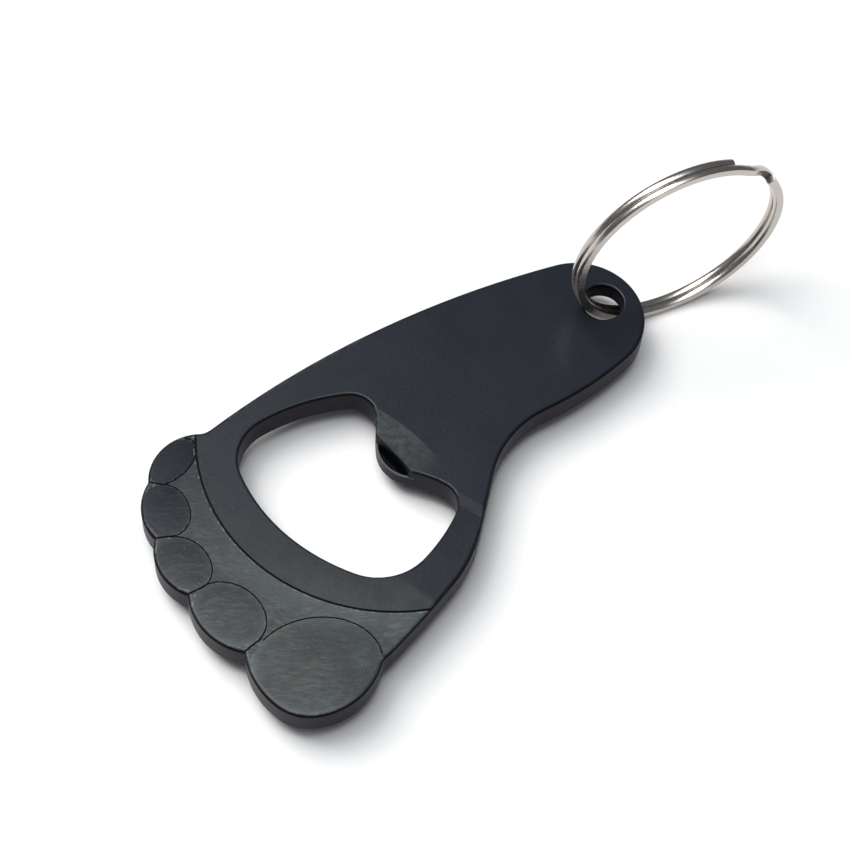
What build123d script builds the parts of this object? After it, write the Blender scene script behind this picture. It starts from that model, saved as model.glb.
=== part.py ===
from build123d import *
import os

# Foot-shaped bottle opener: one cast plate with a split key ring through its heel.
# Millimetres, +Z up. The origin is on the plate's flat underside, in the middle of the instep.
# +X runs from the toes to the heel, and +Y from the big toe's side to the little toe's side.

# ---- Plate ----
THICKNESS = 3.3
EDGE_ROUND = 0.42          # rounded top edge
UNDERSIDE_BEVEL = 0.2

# Outline from the little toe round the heel to the big toe: smooth arcs between these points.
OUTLINE_START = (-19.4, 15.4)
OUTLINE_HEADING = -10.1
OUTLINE_POINTS = [
    (0.0, 9.95),           # outer side
    (20.9, -0.95),         # outer side, where the heel begins
    (15.9, -14.2),         # round the heel
    (5.0, -11.15),         # inner side of the heel
    (-5.0, -11.3),         # hollow of the instep
    (-11.45, -14.3),       # flank of the ball
    (-18.0, -15.75),       # ball
    (-28.0, -15.45),       # where the big toe begins
]
# Outer sides of the four small toes: a point on each arc, and the notch that ends it.
TOE_ARCS = [
    ((-24.6, 17.87), (-28.3, 16.35)),
    ((-31.35, 14.7), (-32.95, 11.5)),
    ((-35.4, 8.9), (-35.75, 4.7)),
    ((-37.85, 0.4), (-37.15, -3.85)),
]
LITTLE_TOE_START = (-20.2, 15.65)
BIG_TOE_HEADING = -133.0
BIG_TOE_POINTS = [(-39.64, -10.0), (-38.0, -13.9), (-33.0, -16.03), (-29.2, -15.25)]
NOTCH_ROUND = 0.2
FLANK_ROUND = 1.5          # where the toes' outline leaves the foot's sides

# ---- Toes ----
# Little toe first: centre, half lengths along and across, and turn of each pad's ellipse.
TOES = [
    ((-24.87, 15.98), (3.2, 1.92), 0.8),
    ((-29.74, 12.73), (3.18, 2.46), 63.4),
    ((-33.32, 7.29), (3.41, 2.57), 79.3),
    ((-34.81, -0.01), (4.14, 3.18), 88.2),
    ((-33.77, -10.42), (6.64, 5.23), 138.6),
]
CROWN_HEIGHT = 0.045       # crown of a toe pad above the flat of the plate
CROWN_MARGIN = 0.28        # from the pad's edge to the foot of its crown
CROWN_SHIFT = 0.14         # crown's centre towards the sole, which leaves the toe's rounded edge free
CROWN_CLEARANCE = 0.05     # between a crown and the plate's rounded edge
CROWN_ROOT = 0.01          # how far the crown's foot sinks into the flat of the toe
CROWN_SPREAD = 4.5         # how many times larger than the crown its ellipsoid is

# ---- Engraved lines ----
PAD_LINE_WIDTH = 0.16
SOLE_LINE_WIDTH = 0.24
PARTING_LINE_WIDTH = 0.2
LINE_DEPTH = 0.14
# Corners between which the pads' outlines show on the plate's face.
PAD_FIELD = [
    (-21.7, 16.9), (-27.8, 15.2), (-31.85, 10.4), (-34.4, 4.1), (-35.1, -4.3), (-28.6, -15.2),
    (-10.0, -20.0), (-10.0, 20.0),
]
# Lines that part neighbouring pads, from where their outlines cross to past the notch.
PARTING_LINES = [
    ((-27.7, 15.0), (-28.7, 17.2)),
    ((-31.8, 10.4), (-33.6, 12.1)),
    ((-34.1, 4.0), (-36.6, 5.05)),
    ((-34.8, -4.25), (-38.0, -3.7)),
]
SOLE_LINE_CENTRE = (-7.94, -0.14)
SOLE_LINE_RADIUS = 20.8
SOLE_LINE_REACH = -20.9    # the line runs on the toes' side of this X

# ---- Key-ring hole ----
HOLE = (20.0, -8.0)
HOLE_RADIUS = 2.25
HOLE_ROUND = 0.3           # rounded rim on top
COUNTERSINK = 1.15         # 45 degree countersink underneath, which lets the ring lean

# ---- Cap opening ----
OPENING_START = (-24.2, 0.0)
OPENING_HEADING = -91.7
OPENING_POINTS = [
    (-23.3, -7.05),        # toe side
    (-17.55, -11.6),       # round the big toe's corner
    (-11.3, -11.0),        # inner side
    (-9.3, -8.05),         # heel corner
    (-10.5, -3.95),        # flank of the cap tab
    (-9.55, 0.8),          # round the tab's tip
    (-7.45, 2.45),         # other flank of the tab
    (-7.05, 6.75),         # upper heel corner
    (-15.25, 11.75),       # outer side
    (-21.65, 9.25),        # round the little toe's corner
    OPENING_START,
]
OPENING_ROUND = 0.3        # rounded rim on top
OPENING_BEVEL = 0.15       # bevelled rim underneath

# ---- Cap tab ----
# The tab's top is cut down beyond a straight edge and hollowed, which leaves a lower lip.
TAB_EDGE = ((-9.06, 0.4), (-10.3, -4.89))
TAB_CUT_LENGTH = 7.4
TAB_CUT_WIDTH = 4.0
TAB_STEP = 0.22            # run of the step down to the lip
TAB_LIP_LEVEL = 1.75       # height of the lip above the underside
TAB_LIP_WIDTH = 0.2
TAB_FLOOR_LEVEL = 1.3      # floor of the hollow behind the lip

# ---- Facets ----
# The face falls from a curved crease beside the tab, and from a straight one on the inner side.
CREASE_CENTRE = (-30.47, 1.04)
CREASE_RADIUS = 24.2
CREASE_REACH = (-23.0, 6.2)     # from and to, as angles from +X
FACET_DEPTH = 0.12
FACET_FALL = 3.2
INNER_CREASE = ((-9.27, -8.3), (-8.93, -13.8))
INNER_FACET_DEPTH = 0.06
INNER_FACET_FALL = 1.2
FACET_RISE = 7.0                # over this the face rises again to its full level

# ---- Split ring ----
RING_RADIUS = 12.5         # outside
RING_WIRE_WIDTH = 1.05     # radially
RING_WIRE_HEIGHT = 0.78    # along the ring's axis, each of the two coils
RING_COIL_GAP = 0.04
RING_WIRE_CROWN = 0.12     # bulge of the wire's rounded sides
RING_YAW = -29.4           # direction in which the ring leans away from the hole
RING_REACH = 8.2           # ring's centre from the hole's axis
RING_RISE = 7.0            # ring's centre above the plate's top face
CROSSOVER_START = 38.0     # angles round the ring, from its outermost point upwards
CROSSOVER_END = 57.0
CROSSOVER_STEPS = 8
BACK_COIL_END = 66.5
FRONT_COIL_END = 35.5

SLACK = 1.0                # how far cutting tools stand out of the faces they cut
TOUCHING = 0.001           # closer than this, an edge belongs to a face


def smooth_arcs(start, heading, points):
    """Arcs through the points, each one tangent to the arc before it."""
    here = Vector(*start)
    direction = Vector(1, 0).rotate(Axis.Z, heading)
    arcs = []
    for point in points:
        arc = TangentArc(here, Vector(*point), tangent=direction)
        arcs.append(arc)
        here = arc @ 1
        direction = arc % 1
    return arcs


def pad_place(pad):
    return Pos(*pad[0]) * Rot(Z=pad[2])


def pad_outline(pad, growth):
    """A toe pad's outline, grown by the given distance."""
    (along, across) = pad[1]
    return pad_place(pad) * Ellipse(along + growth, across + growth)


def foot_outline():
    """The plate's outline, with its notches and flanks eased."""
    sides = smooth_arcs(OUTLINE_START, OUTLINE_HEADING, OUTLINE_POINTS)
    toes = []
    start = LITTLE_TOE_START
    for middle, end in TOE_ARCS:
        toes.append(ThreePointArc(start, middle, end))
        start = end
    big_toe = smooth_arcs(start, BIG_TOE_HEADING, BIG_TOE_POINTS)
    flanks = [Line(OUTLINE_START, LITTLE_TOE_START), Line(BIG_TOE_POINTS[-1], OUTLINE_POINTS[-1])]
    outline = make_face([*sides, *toes, *big_toe, *flanks])
    for _, notch in TOE_ARCS:
        outline = eased(outline, notch, NOTCH_ROUND)
    outline = eased(outline, LITTLE_TOE_START, FLANK_ROUND)
    return eased(outline, BIG_TOE_POINTS[-1], FLANK_ROUND)


def eased(outline, corner, radius):
    """The outline with the corner nearest that place rounded."""
    nearest = outline.vertices().sort_by_distance(Vector(*corner))[0]
    return fillet(nearest, radius)


def opening_outline():
    return make_face(smooth_arcs(OPENING_START, OPENING_HEADING, OPENING_POINTS))


def top_edges(solid):
    return solid.faces().sort_by(Axis.Z)[-1].edges()


def bottom_edges(solid):
    return solid.faces().sort_by(Axis.Z)[0].edges()


def cap_opening(plate):
    """The plate with the cap opening cut through it and both its rims eased."""
    cutter = Pos(Z=-SLACK) * extrude(opening_outline(), THICKNESS + 2 * SLACK)
    pierced = plate - cutter
    rims = [edge for edge in pierced.edges() if edge.distance_to(cutter) < TOUCHING]
    top = [edge for edge in rims if edge.bounding_box().min.Z > THICKNESS - TOUCHING]
    pierced = fillet(top, OPENING_ROUND)
    rims = [edge for edge in pierced.edges() if edge.distance_to(cutter) < TOUCHING]
    bottom = [edge for edge in rims if edge.bounding_box().max.Z < TOUCHING]
    return chamfer(bottom, OPENING_BEVEL)


def hole_cutter():
    """The key-ring hole with its rounded rim on top and its countersink underneath."""
    mouth = HOLE_RADIUS + COUNTERSINK + SLACK
    rim = HOLE_RADIUS + HOLE_ROUND
    lip_foot = (HOLE_RADIUS, THICKNESS - HOLE_ROUND)
    wall = Polyline((0, -SLACK), (mouth, -SLACK), (HOLE_RADIUS, COUNTERSINK), lip_foot)
    lip = RadiusArc(lip_foot, (rim, THICKNESS), HOLE_ROUND)
    lid = Polyline((rim, THICKNESS), (rim, THICKNESS + SLACK), (0, THICKNESS + SLACK), (0, -SLACK))
    return Pos(*HOLE) * revolve(Plane.XZ * make_face([*wall.edges(), lip, *lid.edges()]), Axis.Z)


def along_edge(profile, edge, length):
    """A profile run along a straight edge of the plan; its X points to the toes and its Y upwards."""
    first, last = Vector(*edge[0]), Vector(*edge[1])
    run = (last - first).normalized()
    to_toes = run.rotate(Axis.Z, -90)
    plane = Plane(origin=(first + last) / 2, x_dir=to_toes, z_dir=to_toes.cross(Vector(0, 0, 1)))
    return extrude(plane * profile, length / 2, both=True)


def tab_cutters():
    """They take the top off the cap tab down to its lip, and hollow it behind the lip."""
    step = make_face(Polyline(
        (0, THICKNESS), (TAB_STEP, TAB_LIP_LEVEL), (TAB_CUT_WIDTH, TAB_LIP_LEVEL),
        (TAB_CUT_WIDTH, THICKNESS + SLACK), (0, THICKNESS + SLACK), (0, THICKNESS),
    ))
    hollow = make_face(Polyline(
        (TAB_STEP, TAB_LIP_LEVEL), (2 * TAB_STEP, TAB_FLOOR_LEVEL), (TAB_CUT_WIDTH, TAB_FLOOR_LEVEL),
        (TAB_CUT_WIDTH, TAB_LIP_LEVEL + SLACK), (TAB_STEP, TAB_LIP_LEVEL + SLACK), (TAB_STEP, TAB_LIP_LEVEL),
    ))
    lip = extrude(offset(opening_outline(), TAB_LIP_WIDTH), THICKNESS + SLACK)
    return [
        along_edge(step, TAB_EDGE, TAB_CUT_LENGTH),
        along_edge(hollow, TAB_EDGE, TAB_CUT_LENGTH) - lip,
    ]


def trough(depth, fall):
    """A facet's section: it falls from a crease and rises again towards the toes."""
    return Polyline((0, THICKNESS), (fall, THICKNESS - depth), (FACET_RISE, THICKNESS), (0, THICKNESS))


def facet_cutters():
    """The two facets; the curved one's section points to the middle of its crease's circle."""
    length = (Vector(*INNER_CREASE[1]) - Vector(*INNER_CREASE[0])).length
    straight = along_edge(make_face(trough(INNER_FACET_DEPTH, INNER_FACET_FALL)), INNER_CREASE, length)
    section = Pos(X=CREASE_RADIUS) * Rot(Y=180) * make_face(trough(FACET_DEPTH, FACET_FALL))
    start, end = CREASE_REACH
    curved = revolve(Rot(Z=start) * Plane.XZ * section, Axis.Z, end - start)
    return [straight, Pos(*CREASE_CENTRE) * curved]


def crown(pad):
    """The low crown of a toe pad: the tip of a large flat ellipsoid, cut off by the flat of the plate."""
    (along, across) = pad[1]
    half_height = CROWN_HEIGHT / (1 - (1 - 1 / CROWN_SPREAD**2) ** 0.5)
    ellipsoid = scale(
        Sphere(1),
        by=(CROWN_SPREAD * (along - CROWN_MARGIN), CROWN_SPREAD * (across - CROWN_MARGIN), half_height),
    )
    ellipsoid = Pos(Z=THICKNESS + CROWN_HEIGHT - half_height) * ellipsoid
    block = Box(3 * along, 3 * across, 2 * CROWN_HEIGHT)
    tip = ellipsoid & Pos(Z=THICKNESS - CROWN_ROOT + CROWN_HEIGHT) * block
    to_sole = (Vector(*SOLE_LINE_CENTRE) - Vector(*pad[0])).normalized() * CROWN_SHIFT
    return Pos(to_sole) * pad_place(pad) * tip


def engraved_lines():
    """Grooves round the toe pads and the line that parts the toes from the sole."""
    field = make_face(Polyline(*PAD_FIELD, PAD_FIELD[0]))
    lines = []
    for pad in TOES:
        ring = pad_outline(pad, PAD_LINE_WIDTH / 2) - pad_outline(pad, -PAD_LINE_WIDTH / 2)
        lines.append(ring & field)
    arc = Circle(SOLE_LINE_RADIUS + SOLE_LINE_WIDTH / 2) - Circle(SOLE_LINE_RADIUS - SOLE_LINE_WIDTH / 2)
    reach = Pos(SOLE_LINE_REACH - SOLE_LINE_RADIUS, 0) * Rectangle(2 * SOLE_LINE_RADIUS, 3 * SOLE_LINE_RADIUS)
    lines.append((Pos(*SOLE_LINE_CENTRE) * arc) & reach)
    for start, end in PARTING_LINES:
        run = Vector(*end) - Vector(*start)
        place = Plane(origin=Vector(*start) + run / 2, x_dir=run, z_dir=(0, 0, 1))
        lines.append(place * Rectangle(run.length, PARTING_LINE_WIDTH))
    return [Pos(Z=THICKNESS - LINE_DEPTH) * extrude(line, LINE_DEPTH + SLACK) for line in lines]


def foot_plate():
    outline = foot_outline()
    flat = extrude(offset(outline, -EDGE_ROUND - CROWN_CLEARANCE), THICKNESS + SLACK)
    plate = extrude(outline, THICKNESS)
    plate = fillet(top_edges(plate), EDGE_ROUND)
    plate = chamfer(bottom_edges(plate), UNDERSIDE_BEVEL)
    for pad in TOES:
        plate += crown(pad) & flat
    plate = cap_opening(plate)
    for cutter in [*facet_cutters(), *tab_cutters()]:
        plate -= cutter
    plate -= hole_cutter()
    for line in engraved_lines():
        plate -= line
    return plate


def wire_section(level):
    """The ring wire's section, its middle at the given level along the ring's axis."""
    outer = RING_RADIUS
    inner = RING_RADIUS - RING_WIRE_WIDTH
    low = level - RING_WIRE_HEIGHT / 2
    high = level + RING_WIRE_HEIGHT / 2
    outer_edge = outer - RING_WIRE_CROWN
    inner_edge = inner + RING_WIRE_CROWN
    return Plane.XZ * make_face([
        ThreePointArc((outer_edge, low), (outer, level), (outer_edge, high)),
        Line((outer_edge, high), (inner_edge, high)),
        ThreePointArc((inner_edge, high), (inner, level), (inner_edge, low)),
        Line((inner_edge, low), (outer_edge, low)),
    ])


def split_ring():
    """One wire wound twice round: back coil, crossover and front coil."""
    front = (RING_WIRE_HEIGHT + RING_COIL_GAP) / 2
    back = -front
    back_coil = revolve(
        Rot(Z=BACK_COIL_END) * wire_section(back), Axis.Z, 360 - BACK_COIL_END + CROSSOVER_START
    )
    front_coil = revolve(
        Rot(Z=CROSSOVER_END) * wire_section(front), Axis.Z, 360 - CROSSOVER_END + FRONT_COIL_END
    )
    sections = []
    for step in range(CROSSOVER_STEPS + 1):
        share = step / CROSSOVER_STEPS
        ease = share * share * (3 - 2 * share)
        angle = CROSSOVER_START + share * (CROSSOVER_END - CROSSOVER_START)
        sections.append(Rot(Z=angle) * wire_section(back + ease * (front - back)))
    ring = back_coil + loft(sections) + front_coil
    lean = Vector(1, 0).rotate(Axis.Z, RING_YAW)
    centre = Vector(*HOLE) + lean * RING_REACH + Vector(0, 0, THICKNESS + RING_RISE)
    return Plane(origin=centre, x_dir=lean, z_dir=lean.rotate(Axis.Z, -90)) * ring


os.makedirs("parts", exist_ok=True)
for node, solid in {"foot_plate": foot_plate(), "split_ring": split_ring()}.items():
    export_step(solid, f"parts/{node}.step")
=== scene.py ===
import math

import bpy
from bpy.props import FloatProperty, FloatVectorProperty, PointerProperty
from bpy.types import Operator, Panel, PropertyGroup
from mathutils import Euler, Matrix, Vector


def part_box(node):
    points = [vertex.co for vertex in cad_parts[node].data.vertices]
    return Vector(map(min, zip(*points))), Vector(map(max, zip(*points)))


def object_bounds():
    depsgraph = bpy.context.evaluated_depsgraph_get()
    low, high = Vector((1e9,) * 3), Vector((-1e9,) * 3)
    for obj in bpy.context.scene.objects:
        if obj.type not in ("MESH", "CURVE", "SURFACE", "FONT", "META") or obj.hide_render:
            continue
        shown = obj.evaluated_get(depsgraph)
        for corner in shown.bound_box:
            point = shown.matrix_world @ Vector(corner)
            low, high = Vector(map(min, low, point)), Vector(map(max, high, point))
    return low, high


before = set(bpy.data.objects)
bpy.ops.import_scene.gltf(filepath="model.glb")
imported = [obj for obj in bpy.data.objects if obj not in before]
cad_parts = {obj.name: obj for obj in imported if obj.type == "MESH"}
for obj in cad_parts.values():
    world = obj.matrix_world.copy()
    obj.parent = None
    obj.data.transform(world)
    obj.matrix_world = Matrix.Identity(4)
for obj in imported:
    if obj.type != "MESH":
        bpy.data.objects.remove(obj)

bl_info = {
    "name": "Foot Bottle Opener",
    "version": (1, 0, 0),
    "blender": (4, 5, 0),
    "location": "View3D > Sidebar > Opener",
    "description": "Coats the cast plate, plates the split ring and sets up a small product studio",
    "category": "Object",
}

CAD_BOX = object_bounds()
PLATE_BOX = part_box("foot_plate")
RING_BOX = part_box("split_ring")
MM = 0.001
PLATE_FACE = 3.3 * MM          # flat of the plate, below the crowns of the toe pads


# ---- Sizes and colours a user would change ----

class CoatingSettings(PropertyGroup):
    """The black coating of the plate."""

    colour: FloatVectorProperty(
        name="Coating", description="Colour of the satin coating", subtype="COLOR",
        size=4, min=0.0, max=1.0, default=(0.0105, 0.0145, 0.0225, 1.0),
    )
    wall_colour: FloatVectorProperty(
        name="Walls", description="Warmer colour of the coating on the cast walls", subtype="COLOR",
        size=4, min=0.0, max=1.0, default=(0.020, 0.015, 0.022, 1.0),
    )
    facet_colour: FloatVectorProperty(
        name="Facet", description="Rubbed, greyer colour of the facet beside the cap tab", subtype="COLOR",
        size=4, min=0.0, max=1.0, default=(0.038, 0.046, 0.045, 1.0),
    )
    roughness: FloatProperty(
        name="Roughness", description="Roughness of the flat of the coating", min=0.0, max=1.0, default=0.36,
    )
    peel_height: FloatProperty(
        name="Orange peel", description="Height of the coating's orange peel", unit="LENGTH",
        min=0.0, default=0.012 * MM, precision=6,
    )
    brush_height: FloatProperty(
        name="Brush marks", description="Height of the brush marks near the toes", unit="LENGTH",
        min=0.0, default=0.015 * MM, precision=6,
    )


class RingSettings(PropertyGroup):
    """The nickel plating of the split ring."""

    colour: FloatVectorProperty(
        name="Nickel", description="Colour of the plating", subtype="COLOR",
        size=4, min=0.0, max=1.0, default=(0.56, 0.515, 0.475, 1.0),
    )
    roughness: FloatProperty(
        name="Roughness", description="Roughness of the bright plating", min=0.0, max=1.0, default=0.25,
    )
    scratch_height: FloatProperty(
        name="Drawing marks", description="Height of the marks left by drawing the wire", unit="LENGTH",
        min=0.0, default=0.004 * MM, precision=6,
    )


class StudioSettings(PropertyGroup):
    """Camera, floor and lights."""

    azimuth: FloatProperty(
        name="Camera azimuth", description="Turn of the camera about the vertical", subtype="ANGLE",
        default=math.radians(-57.0),
    )
    elevation: FloatProperty(
        name="Camera elevation", description="Height of the camera above the floor", subtype="ANGLE",
        default=math.radians(59.2),
    )
    roll: FloatProperty(
        name="Camera roll", description="Turn of the camera about its own axis", subtype="ANGLE",
        default=math.radians(4.7),
    )
    lens: FloatProperty(
        name="Lens", description="Focal length of the camera", subtype="DISTANCE_CAMERA", default=91.06,
    )
    camera_place: FloatVectorProperty(
        name="Camera place", description="Where the camera stands", subtype="TRANSLATION", size=3,
        default=(-103.02 * MM, -65.85 * MM, 199.57 * MM), precision=5,
    )
    floor_size: FloatProperty(
        name="Floor", description="Side of the floor", unit="LENGTH", default=3.0,
    )
    floor_gap: FloatProperty(
        name="Floor gap", description="Clear height between the floor and the ring's lowest point",
        unit="LENGTH", min=0.0, default=0.02 * MM, precision=6,
    )


# ---- Shader expressions ----

class Sock:
    """A node's output as a value in an expression."""

    def __init__(self, graph, socket):
        self.graph = graph
        self.socket = socket

    def _maths(self, operation, *values, clamp=False):
        return self.graph.node(
            "ShaderNodeMath", {"operation": operation, "use_clamp": clamp}, dict(enumerate(values))
        )

    def __add__(self, other):
        return self._maths("ADD", self, other)

    __radd__ = __add__

    def __sub__(self, other):
        return self._maths("SUBTRACT", self, other)

    def __rsub__(self, other):
        return self._maths("SUBTRACT", other, self)

    def __mul__(self, other):
        return self._maths("MULTIPLY", self, other)

    __rmul__ = __mul__

    def __truediv__(self, other):
        return self._maths("DIVIDE", self, other)

    def __pow__(self, other):
        return self._maths("POWER", self, other)

    def least(self, other):
        return self._maths("MINIMUM", self, other)

    def abs(self):
        return self._maths("ABSOLUTE", self)

    def clamped(self):
        return self._maths("ADD", self, 0.0, clamp=True)

    def over(self, low, high):
        """0 below low and 1 above high, smooth between; low above high turns it round."""
        return self.graph.node(
            "ShaderNodeMapRange", {"interpolation_type": "SMOOTHSTEP", "clamp": True},
            {"Value": self, "From Min": low, "From Max": high},
        )


def used(sockets, key):
    """The socket of that number, or the one in use of that name."""
    if isinstance(key, int):
        return sockets[key]
    return next(socket for socket in sockets if socket.name == key and socket.enabled)


class Graph:
    """A material's node tree, built by expressions."""

    def __init__(self, name):
        self.material = bpy.data.materials.new(name)
        self.material.use_nodes = True
        self.tree = self.material.node_tree
        self.tree.nodes.clear()
        self.coordinates = self.node("ShaderNodeTexCoord", out="Object")

    def node(self, kind, settings=None, inputs=None, out=0):
        made = self.tree.nodes.new(kind)
        for key, value in (settings or {}).items():
            setattr(made, key, value)
        for key, value in (inputs or {}).items():
            socket = used(made.inputs, key)
            if isinstance(value, Sock):
                self.tree.links.new(value.socket, socket)
            else:
                socket.default_value = value
        return Sock(self, used(made.outputs, out))

    def axes(self, vector=None):
        """The X, Y and Z of a vector, in metres on Object coordinates."""
        parts = self.node("ShaderNodeSeparateXYZ", inputs={0: vector or self.coordinates}).socket.node
        return [Sock(self, socket) for socket in parts.outputs]

    def vector(self, x, y, z):
        return self.node("ShaderNodeCombineXYZ", inputs={0: x, 1: y, 2: z})

    def noise(self, grain, detail=2.0, rough=0.5, at=None):
        """Noise from 0 to 1 with the given grain size in metres."""
        return self.node(
            "ShaderNodeTexNoise", {"noise_dimensions": "3D"},
            {"Vector": at or self.coordinates, "Scale": 1.0 / grain, "Detail": detail,
             "Roughness": rough},
        )

    def mix(self, share, first, second):
        """Colours, mixed."""
        return self.node(
            "ShaderNodeMix", {"data_type": "RGBA", "clamp_factor": True},
            {"Factor": share, "A": first, "B": second}, out="Result",
        )

    def bump(self, height, distance):
        return self.node(
            "ShaderNodeBump", inputs={"Height": height, "Distance": distance, "Strength": 1.0}
        )

    def shader(self, **inputs):
        named = {key.replace("_", " "): value for key, value in inputs.items()}
        return self.node("ShaderNodeBsdfPrincipled", inputs=named)

    def blend(self, share, first, second):
        return self.node("ShaderNodeMixShader", inputs={0: share, 1: first, 2: second})

    def finish(self, shader):
        output = self.tree.nodes.new("ShaderNodeOutputMaterial")
        self.tree.links.new(shader.socket, output.inputs["Surface"])
        return self.material


# ---- Materials ----

# Toe pads, little toe first: centre, half lengths along and across, and turn, in mm and degrees.
PADS = [
    ((-24.87, 15.98), (3.2, 1.92), 0.8),
    ((-29.74, 12.73), (3.18, 2.46), 63.4),
    ((-33.32, 7.29), (3.41, 2.57), 79.3),
    ((-34.81, -0.01), (4.14, 3.18), 88.2),
    ((-33.77, -10.42), (6.64, 5.23), 138.6),
]
SOLE_CENTRE = (-7.94 * MM, -0.14 * MM, 0.0)
SOLE_RADIUS = 20.8 * MM
SOLE_REACH = -20.9 * MM
TIP_CENTRE = (-6.77 * MM, -2.23 * MM, 0.0)      # round of the cap tab's tip
TIP_RADIUS = 4.1 * MM
TIP_REACH = -9.2 * MM                           # the tip is on the toes' side of this X
LIP_LEVEL = 1.75 * MM                           # height of the tab's lip
CREASE_CENTRE = (-30.47 * MM, 1.04 * MM, 0.0)
CREASE_RADIUS = 24.2 * MM
FACET_DEPTH = 0.12 * MM


def pad_distance(x, y):
    """Distance outwards from the nearest toe pad's edge; it is negative on a pad."""
    nearest = None
    for (cx, cy), (along, across), turn in PADS:
        cos, sin = math.cos(math.radians(turn)), math.sin(math.radians(turn))
        dx, dy = x - cx * MM, y - cy * MM
        u = (dx * cos + dy * sin) / (along * MM)
        v = (dy * cos - dx * sin) / (across * MM)
        outside = ((u * u + v * v) ** 0.5 - 1.0) * ((along + across) / 2 * MM)
        nearest = outside if nearest is None else nearest.least(outside)
    return nearest


def plan_distance(graph, x, y, centre):
    """Distance in plan from a centre on the plate's underside."""
    return graph.node(
        "ShaderNodeVectorMath", {"operation": "DISTANCE"},
        {0: graph.vector(x, y, 0.0), 1: centre}, out="Value",
    )


def line_mask(distance, inner, outer):
    """1 within inner of a line and 0 beyond outer."""
    return distance.abs().over(outer, inner)


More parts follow.
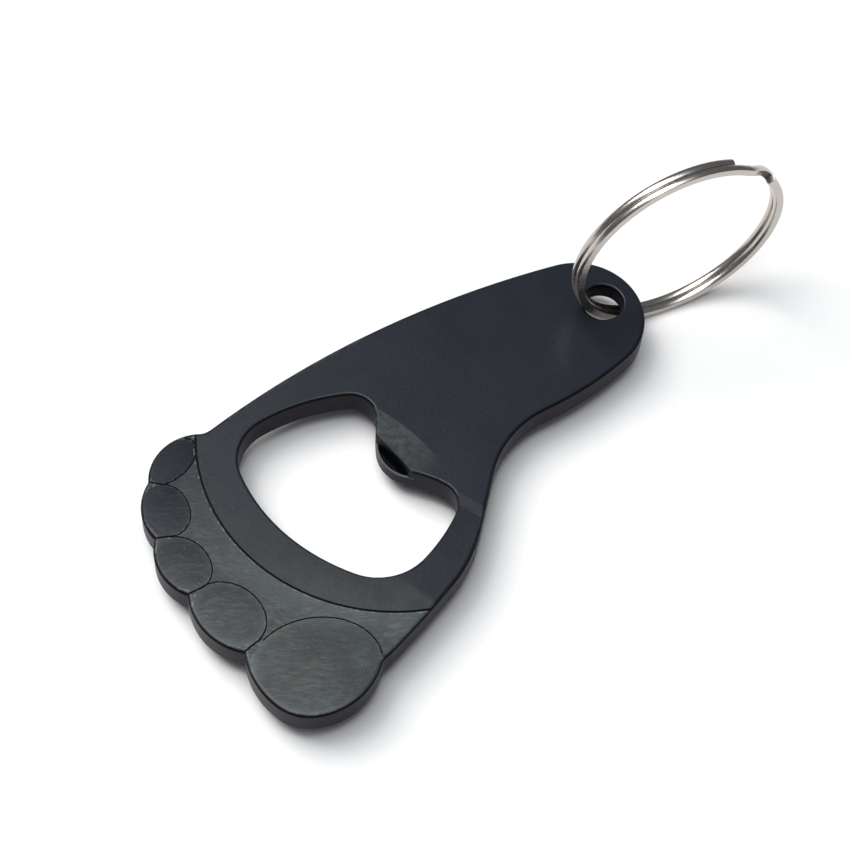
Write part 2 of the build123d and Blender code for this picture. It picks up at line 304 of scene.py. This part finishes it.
def coating_material(settings):
    """Satin black coating with brush marks and nicks near the toes and a greyer facet beside the tab.

    Some of it stands for light and not for finish, and stays put under any light: the growing lightness
    towards the big toe and the sole line, the pads' light rims, and the black of the edge and the hollow.
    """
    graph = Graph("black_coating")
    x, y, z = graph.axes()
    peel = graph.noise(0.42 * MM, 2.0, 0.5)
    mottle = graph.noise(5.0 * MM, 4.0, 0.55)
    fine = graph.noise(0.8 * MM, 3.0, 0.65)
    specks = graph.noise(0.30 * MM, 1.0, 0.5)

    # Where the finish changes: beside the tab, below the face, and from the sole line to the toes; and where
    # the tab's hollow and lip get painted shade and a painted highlight.
    inside_crease = CREASE_RADIUS - plan_distance(graph, x, y, CREASE_CENTRE)
    facet = (
        inside_crease.over(-0.02 * MM, 0.10 * MM) * inside_crease.over(6.0 * MM, 4.0 * MM)
        * x.over(-14.0 * MM, -11.0 * MM) * y.over(-7.5 * MM, -1.0 * MM) * y.over(6.0 * MM, 4.5 * MM)
    )
    inside_tip = TIP_RADIUS - plan_distance(graph, x, y, TIP_CENTRE)
    tab = x.over(TIP_REACH + 0.2 * MM, TIP_REACH) * z.over(PLATE_FACE - 0.2 * MM, PLATE_FACE - 0.4 * MM)
    # Floor of the tab's hollow, which gets painted shade below.
    hollow = tab * inside_tip.over(0.16 * MM, 0.24 * MM)
    above_lip = z - LIP_LEVEL
    on_lip = above_lip.over(-0.14 * MM, -0.04 * MM) * above_lip.over(0.12 * MM, 0.04 * MM)
    # Thin band along the tab's lip, which gets a painted highlight below.
    lip = tab * on_lip * line_mask(inside_tip - 0.05 * MM, 0.12 * MM, 0.2 * MM)
    low = PLATE_FACE - z - FACET_DEPTH * facet
    wall = low.over(0.05 * MM, 0.13 * MM)
    to_sole = plan_distance(graph, x, y, SOLE_CENTRE) - SOLE_RADIUS + (fine - 0.5) * (0.10 * MM)
    toe_side = x.over(SOLE_REACH + 0.3 * MM, SOLE_REACH - 0.3 * MM)
    toes = to_sole.over(-0.1 * MM, 0.1 * MM) * toe_side
    to_pad = pad_distance(x, y) + (fine - 0.5) * (0.08 * MM)
    pads = to_pad.over(0.05 * MM, -0.05 * MM)

    # Brush marks run obliquely over the toes, in patches, fainter on the pads and on the little toe's side.
    along = 0.62 * x - 0.78 * y
    across = 0.78 * x + 0.62 * y
    wander = (graph.noise(3.6 * MM, 2.0) - 0.5) * (2.0 * MM)
    stretched = graph.vector(along / (1.3 * MM), (across + wander) / (0.17 * MM), z / (2.0 * MM))
    marks = graph.noise(1.0, 3.0, 0.65, at=stretched)
    patch = graph.noise(2.4 * MM, 2.0).over(0.36, 0.62)
    # Rises from the little toe's side to the big toe's side: the lightening it gives the toes is painted
    # light, and it also fades the brush marks towards the little toe.
    wear_and_light_to_big_toe = y.over(16.0 * MM, -6.0 * MM)
    brushed = toes * (1.0 - 0.45 * pads) * (0.35 + 0.65 * patch) * (0.25 + 0.75 * wear_and_light_to_big_toe)

    # Broken light edges along the sole line and between the pads, a painted highlight along the pads' rims,
    # and dust.
    broken = graph.noise(0.55 * MM, 2.0, 0.6).over(0.46, 0.64)
    sole_edge = line_mask(to_sole - 0.19 * MM, 0.02 * MM, 0.12 * MM) * toe_side
    pad_edge = line_mask(to_pad + 0.02 * MM, 0.08 * MM, 0.18 * MM)
    pad_highlight_band = pads.least(to_pad.over(-0.9 * MM, -0.15 * MM))
    painted_pad_highlight = pad_highlight_band * x.over(-26.0 * MM, -38.0 * MM) * (0.4 + 0.6 * wear_and_light_to_big_toe)
    nicks = (0.9 * sole_edge + 0.6 * pad_edge) * broken * toes
    dust = specks.over(0.765, 0.80) * toes * 0.8

    face = graph.mix(
        0.35 * mottle + 0.35 * fine + 0.4 * marks * brushed,
        scaled(settings.colour, 0.6), scaled(settings.colour, 1.25),
    )
    # Partly the toes' greyer brushed finish, partly painted light that grows towards the big toe and, from
    # the heel's side, towards the sole line.
    painted_light_before_sole_line = to_sole.over(-7.0 * MM, 0.0) * toe_side * wear_and_light_to_big_toe
    grey_finish_and_light = (toes + 0.7 * painted_light_before_sole_line * (1.0 - toes)) * wear_and_light_to_big_toe * (0.6 + 0.4 * patch)
    face = graph.mix(grey_finish_and_light, face, settings.facet_colour[:])
    face = graph.mix(facet * (0.25 + 0.75 * fine.over(0.3, 0.7)), face, scaled(settings.facet_colour, 1.15))
    face = graph.mix(brushed * marks.over(0.42, 0.70), face, scaled(settings.facet_colour, 2.3))
    face = graph.mix(brushed * marks.over(0.47, 0.33) * 0.8, face, scaled(settings.facet_colour, 0.3))
    # Painted light: lighter within 4.5 mm past the sole line, more so towards the big toe.
    painted_light_past_sole_line = to_sole.over(4.5 * MM, 0.0) * toes * wear_and_light_to_big_toe
    face = graph.mix(painted_light_past_sole_line * 0.55, face, scaled(settings.facet_colour, 1.9))
    # Painted highlight along the pads' rims, strongest towards the toe tips.
    face = graph.mix(painted_pad_highlight * toes * 0.45, face, scaled(settings.facet_colour, 2.4))
    face = graph.mix(nicks * 0.75 + dust, face, scaled(settings.facet_colour, 4.5))

    roughness = settings.roughness + 0.10 * (mottle - 0.5) + 0.14 * facet + 0.10 * brushed * marks
    height = (
        peel * settings.peel_height
        + marks * brushed * settings.brush_height
        + fine * settings.peel_height * 1.2 * (0.5 + facet + toes * 0.5)
    )
    face_shader = graph.shader(
        Base_Color=face, Roughness=roughness, Normal=graph.bump(height, 1.0), IOR=1.5,
        Specular_IOR_Level=0.28, Coat_Weight=0.08 * (1.0 - facet), Coat_Roughness=0.15,
    )
    side = graph.mix(fine, scaled(settings.wall_colour, 0.7), scaled(settings.wall_colour, 1.2))
    # Painted shade: the round of the edge just below the face is made near black.
    painted_dark_edge = low.over(0.05 * MM, 0.10 * MM) * low.over(0.55 * MM, 0.38 * MM)
    side = graph.mix(painted_dark_edge * 0.85, side, scaled(settings.colour, 0.15))
    # Painted highlight: a thin light line along the tab's lip.
    side = graph.mix(lip, side, scaled(settings.facet_colour, 2.5))
    # Painted shade: the floor of the tab's hollow is made near black.
    side = graph.mix(hollow, side, scaled(settings.colour, 0.2))
    side = graph.mix(wall, face, side)
    side_shader = graph.shader(
        Base_Color=side, Roughness=settings.roughness + 0.12 * (mottle - 0.5),
        Normal=graph.bump(peel * settings.peel_height, 1.0), IOR=1.5, Specular_IOR_Level=0.05,
    )
    dull = (wall + 0.65 * pads * toes * (1.0 - 0.8 * wear_and_light_to_big_toe)).clamped()
    return graph.finish(graph.blend(dull, face_shader, side_shader))


def scaled(colour, factor):
    return (colour[0] * factor, colour[1] * factor, colour[2] * factor, 1.0)


def nickel_material(settings):
    """Bright nickel plating with fine marks along the wire and faint dull patches."""
    graph = Graph("nickel_plating")
    centre = (RING_BOX[0] + RING_BOX[1]) / 2
    dull = graph.noise(1.6 * MM, 3.0, 0.6)
    grain = graph.noise(0.12 * MM, 2.0, 0.5)
    x, y, z = graph.axes()
    radius = graph.node(
        "ShaderNodeVectorMath", {"operation": "DISTANCE"},
        {0: graph.coordinates, 1: centre[:]}, out="Value",
    )
    marks = graph.noise(
        1.0, 2.0, 0.5,
        at=graph.vector(radius / (0.05 * MM), (0.491 * x + 0.871 * y) / (0.06 * MM), z / (9.0 * MM)),
    )
    colour = graph.mix(
        (0.6 * dull + 0.4 * grain).clamped(), scaled(settings.colour, 0.86), scaled(settings.colour, 1.08)
    )
    roughness = (settings.roughness + 0.12 * (dull - 0.5) + 0.06 * (marks - 0.5)).clamped()
    height = marks * settings.scratch_height + dull * settings.scratch_height * 3.0
    return graph.finish(graph.shader(
        Base_Color=colour, Metallic=1.0, Roughness=roughness, Normal=graph.bump(height, 1.0)
    ))


def floor_material():
    """Plain matt white paper."""
    graph = Graph("white_paper")
    fibre = graph.noise(0.5 * MM, 3.0, 0.6)
    colour = graph.mix(fibre, (0.92, 0.92, 0.92, 1.0), (0.95, 0.95, 0.95, 1.0))
    return graph.finish(graph.shader(Base_Color=colour, Roughness=0.9))


def give(node, material):
    """The material in every slot of a node."""
    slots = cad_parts[node].data.materials
    for index in range(len(slots)):
        slots[index] = material
    if not slots:
        slots.append(material)


# ---- Operators ----

class OPENER_OT_coat_plate(Operator):
    """Gives the cast plate its satin black coating"""

    bl_idname = "opener.coat_plate"
    bl_label = "Coat Plate"

    def execute(self, context):
        give("foot_plate", coating_material(context.scene.opener_coating))
        return {"FINISHED"}


class OPENER_OT_plate_ring(Operator):
    """Gives the split ring its nickel plating"""

    bl_idname = "opener.plate_ring"
    bl_label = "Plate Ring"

    def execute(self, context):
        give("split_ring", nickel_material(context.scene.opener_ring))
        return {"FINISHED"}


class OPENER_OT_studio(Operator):
    """Lays the floor, hangs the lights and stands the camera"""

    bl_idname = "opener.studio"
    bl_label = "Studio"

    def execute(self, context):
        settings = context.scene.opener_studio
        self.floor(settings)
        self.camera(context, settings)
        self.lights(context)
        return {"FINISHED"}

    def floor(self, settings):
        bpy.ops.object.select_all(action="DESELECT")
        level = CAD_BOX[0][2] - settings.floor_gap
        bpy.ops.mesh.primitive_plane_add(size=settings.floor_size, location=(0, 0, level))
        floor = bpy.context.object
        floor.name = "floor"
        bpy.ops.object.transform_apply(location=True, rotation=True, scale=True)
        floor.data.materials.append(floor_material())

    def camera(self, context, settings):
        turn = Euler((math.pi / 2 - settings.elevation, 0, settings.azimuth)).to_matrix().to_4x4()
        data = bpy.data.cameras.new("camera")
        data.lens = settings.lens
        data.clip_start = 0.01
        camera = bpy.data.objects.new("camera", data)
        context.scene.collection.objects.link(camera)
        camera.matrix_world = (
            Matrix.Translation(settings.camera_place) @ turn @ Matrix.Rotation(settings.roll, 4, "Z")
        )
        context.scene.camera = camera

    def lights(self, context):
        scene = context.scene
        scene.view_settings.view_transform = "Standard"
        world = bpy.data.worlds.new("studio")
        world.use_nodes = True
        world.node_tree.nodes["Background"].inputs["Color"].default_value = (0.9, 0.95, 1.0, 1.0)
        world.node_tree.nodes["Background"].inputs["Strength"].default_value = 0.16
        scene.world = world
        for name, place, size, power, colour in SOFTBOXES:
            data = bpy.data.lights.new(name, "AREA")
            data.shape = "RECTANGLE"
            data.size, data.size_y = size
            data.energy = power
            data.color = colour
            light = bpy.data.objects.new(name, data)
            scene.collection.objects.link(light)
            light.matrix_world = Matrix.Translation(place) @ aim(place)


# Name, place, size, power and colour of each softbox.
SOFTBOXES = [
    ("key", (-0.03, 0.33, 0.52), (0.36, 0.36), 2.9, (1.0, 0.99, 0.97)),
    ("overhead", (-0.07, 0.02, 0.60), (0.36, 0.36), 1.9, (0.97, 0.98, 1.0)),
]


def aim(place):
    """Turns a light at that place towards the object."""
    return (-Vector(place)).to_track_quat("-Z", "Y").to_matrix().to_4x4()


class OPENER_PT_panel(Panel):
    """Lists the steps that finish the opener"""

    bl_label = "Foot Bottle Opener"
    bl_idname = "OPENER_PT_panel"
    bl_space_type = "VIEW_3D"
    bl_region_type = "UI"
    bl_category = "Opener"

    def draw(self, context):
        for name in ("opener_coating", "opener_ring", "opener_studio"):
            box = self.layout.box()
            settings = getattr(context.scene, name)
            for key in settings.__annotations__:
                box.prop(settings, key)
        for step in STEPS:
            self.layout.operator(step.bl_idname)


STEPS = (OPENER_OT_coat_plate, OPENER_OT_plate_ring, OPENER_OT_studio)
CLASSES = (CoatingSettings, RingSettings, StudioSettings, *STEPS, OPENER_PT_panel)


def register():
    for cls in CLASSES:
        bpy.utils.register_class(cls)
    bpy.types.Scene.opener_coating = PointerProperty(type=CoatingSettings)
    bpy.types.Scene.opener_ring = PointerProperty(type=RingSettings)
    bpy.types.Scene.opener_studio = PointerProperty(type=StudioSettings)


def unregister():
    del bpy.types.Scene.opener_studio
    del bpy.types.Scene.opener_ring
    del bpy.types.Scene.opener_coating
    for cls in reversed(CLASSES):
        bpy.utils.unregister_class(cls)


def main():
    register()
    bpy.ops.opener.coat_plate()
    bpy.ops.opener.plate_ring()
    bpy.ops.opener.studio()


if __name__ == "__main__":
    main()
